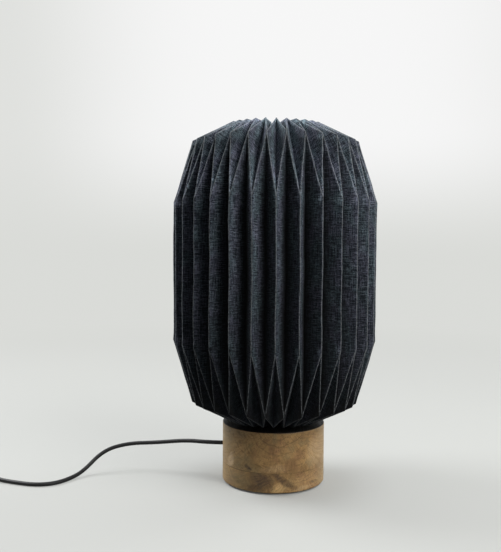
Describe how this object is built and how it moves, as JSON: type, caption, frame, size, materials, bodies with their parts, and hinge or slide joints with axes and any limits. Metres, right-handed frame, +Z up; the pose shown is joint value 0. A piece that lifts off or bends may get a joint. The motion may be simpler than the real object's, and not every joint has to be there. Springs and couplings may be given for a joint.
{
  "type": "origami table lamp",
  "caption": "Table lamp with a pleated origami shade of folded dark linen on a short round wooden base, with a screw-in bulb and a flex with an inline rocker switch and a plug.",
  "frame": {"origin": "centre of the base's footprint, on the surface that the lamp stands on", "axes": "+Z up along the lamp's axis; the flex leaves towards -X; the front of the picture is -Y"},
  "size_m": [0.5685, 0.1966, 0.3476],
  "materials": {
    "shade_linen": "woven slub linen, dark charcoal",
    "wood_upper": "oiled mango wood, pale brown",
    "wood_lower": "oiled mango wood, darker streaks",
    "felt_black": "pressed felt",
    "cover_board": "plain fibreboard",
    "zinc_steel": "zinc plated",
    "brass_plain": "bare brass",
    "holder_black": "matt moulded plastic",
    "holder_white": "matt white insulating block",
    "cap_aluminium": "rolled cap",
    "bulb_insulator_black": "black insulator",
    "bulb_white": "white housing",
    "bulb_opal": "opal diffuser",
    "flex_black": "black sheath",
    "moulding_black": "satin black moulding",
    "rocker_black": "satin black",
    "strap_black": "hook and loop tape",
    "thread_black": "waxed thread",
    "pin_nickel": "nickel plated"
  },
  "bodies": {
    "root": {"base_lower_block": "wood_lower", "base_upper_block": "wood_upper", "felt_pad": "felt_black", "base_cover": "cover_board", "cover_screws": "zinc_steel", "threaded_nipple": "zinc_steel", "nipple_washer": "zinc_steel", "nipple_nut": "zinc_steel", "lampholder_cap": "holder_black", "terminal_block": "holder_white", "centre_contact": "brass_plain", "lampholder_shell": "brass_plain", "lampholder_skirt": "holder_black", "shade_ring": "holder_black", "shade_sheet": "shade_linen", "lower_gather_thread": "thread_black", "upper_gather_thread": "thread_black", "flex_bush": "holder_black", "flex_stop": "holder_white", "inner_lead": "flex_black", "flex_to_switch": "flex_black", "switch_lower_case": "moulding_black", "switch_upper_case": "moulding_black", "switch_inlet_sleeve": "moulding_black", "switch_outlet_sleeve": "moulding_black", "switch_screws": "zinc_steel", "switch_contacts": "brass_plain", "flex_to_coil": "flex_black", "flex_coil": "flex_black", "coil_strap": "strap_black", "flex_to_plug": "flex_black", "plug_relief": "moulding_black", "plug_body": "moulding_black", "plug_pins": "pin_nickel"},
    "rocker": {"switch_rocker": "rocker_black"},
    "bulb_tip_body": {"bulb_tip": "brass_plain"},
    "bulb": {"bulb_insulator": "bulb_insulator_black", "bulb_cap": "cap_aluminium", "bulb_housing": "bulb_white", "bulb_globe": "bulb_opal"}
  },
  "joints": [
    {"name": "switch_rock", "type": "hinge", "parent": "root", "child": "rocker", "pos_m": [-0.352, -0.014, 0.006], "axis": [0, 1, 0], "range_deg": [0, 12]},
    {"name": "bulb_rise", "type": "slide", "parent": "root", "child": "bulb_tip_body", "axis": [0, 0, 1], "range_m": [0, 0.0109]},
    {"name": "bulb_turn", "type": "hinge", "parent": "bulb_tip_body", "child": "bulb", "pos_m": [0, 0, 0.0866], "axis": [0, 0, 1], "range_deg": [0, 1080]}
  ],
  "couplings": [
    {"joint": "bulb_rise", "follows": "bulb_turn", "m_per_rad": 0.00057757}
  ]
}
